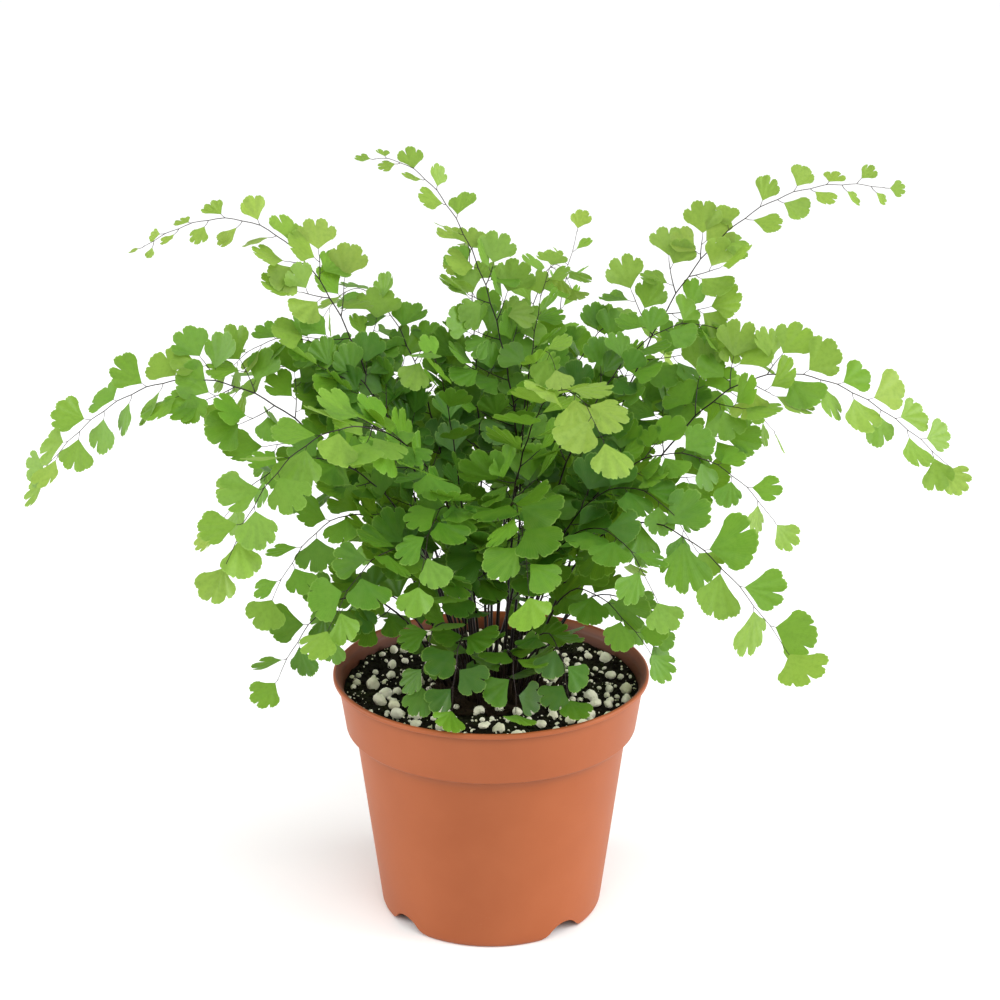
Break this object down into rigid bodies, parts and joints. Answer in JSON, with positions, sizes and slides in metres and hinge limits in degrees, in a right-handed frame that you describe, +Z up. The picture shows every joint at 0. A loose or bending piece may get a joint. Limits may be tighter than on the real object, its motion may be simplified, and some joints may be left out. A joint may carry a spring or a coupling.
{
  "type": "potted maidenhair fern",
  "caption": "Maidenhair fern with arching dark-stalked fronds of fan-shaped leaflets, rooted in perlite-rich potting mix in a terracotta-coloured plastic nursery pot.",
  "frame": {"origin": "on the pot's axis, on the plane that the foot ring stands on, which is also the bottom centre of the whole plant's box", "axes": "+Z up along the pot's axis, +X to the right towards the longest right-hand frond, -Y towards the viewer of the plant's front"},
  "size_m": [0.3542, 0.2138, 0.2912],
  "materials": {
    "pot_plastic": "smooth moulded, matte, terracotta orange",
    "peat_mix": "rough crumbly peat, near black",
    "crown_fibre": "fibrous brown rhizome and old stalk stubs",
    "perlite": "rough, porous, cream white",
    "fern_leaf": "satin green leaf, yellow green at the young tips, on near-black wiry stalks"
  },
  "bodies": {
    "root": {"frond_01": "fern_leaf", "frond_02": "fern_leaf", "frond_03": "fern_leaf", "frond_04": "fern_leaf", "frond_05": "fern_leaf", "frond_06": "fern_leaf", "frond_07": "fern_leaf", "frond_08": "fern_leaf", "frond_09": "fern_leaf", "frond_10": "fern_leaf", "frond_11": "fern_leaf", "frond_12": "fern_leaf", "frond_13": "fern_leaf", "frond_14": "fern_leaf", "frond_15": "fern_leaf", "frond_16": "fern_leaf", "frond_17": "fern_leaf", "frond_18": "fern_leaf", "frond_19": "fern_leaf", "frond_20": "fern_leaf", "frond_21": "fern_leaf", "frond_22": "fern_leaf", "frond_23": "fern_leaf", "frond_24": "fern_leaf", "frond_25": "fern_leaf", "frond_26": "fern_leaf", "frond_27": "fern_leaf", "frond_28": "fern_leaf", "frond_29": "fern_leaf", "frond_30": "fern_leaf", "frond_31": "fern_leaf", "frond_32": "fern_leaf", "frond_33": "fern_leaf", "frond_34": "fern_leaf", "frond_35": "fern_leaf", "frond_36": "fern_leaf", "frond_37": "fern_leaf", "frond_38": "fern_leaf", "frond_39": "fern_leaf", "frond_40": "fern_leaf", "frond_41": "fern_leaf", "perlite_grain_1": "perlite", "perlite_grain_2": "perlite", "perlite_grain_3": "perlite", "perlite_grain_4": "perlite", "perlite_grain_5": "perlite", "perlite_grain_6": "perlite", "perlite_grain_7": "perlite", "perlite_grain_8": "perlite", "pot": "pot_plastic", "potting_mix": "peat_mix", "rhizome_crown": "crown_fibre"}
  },
  "joints": []
}
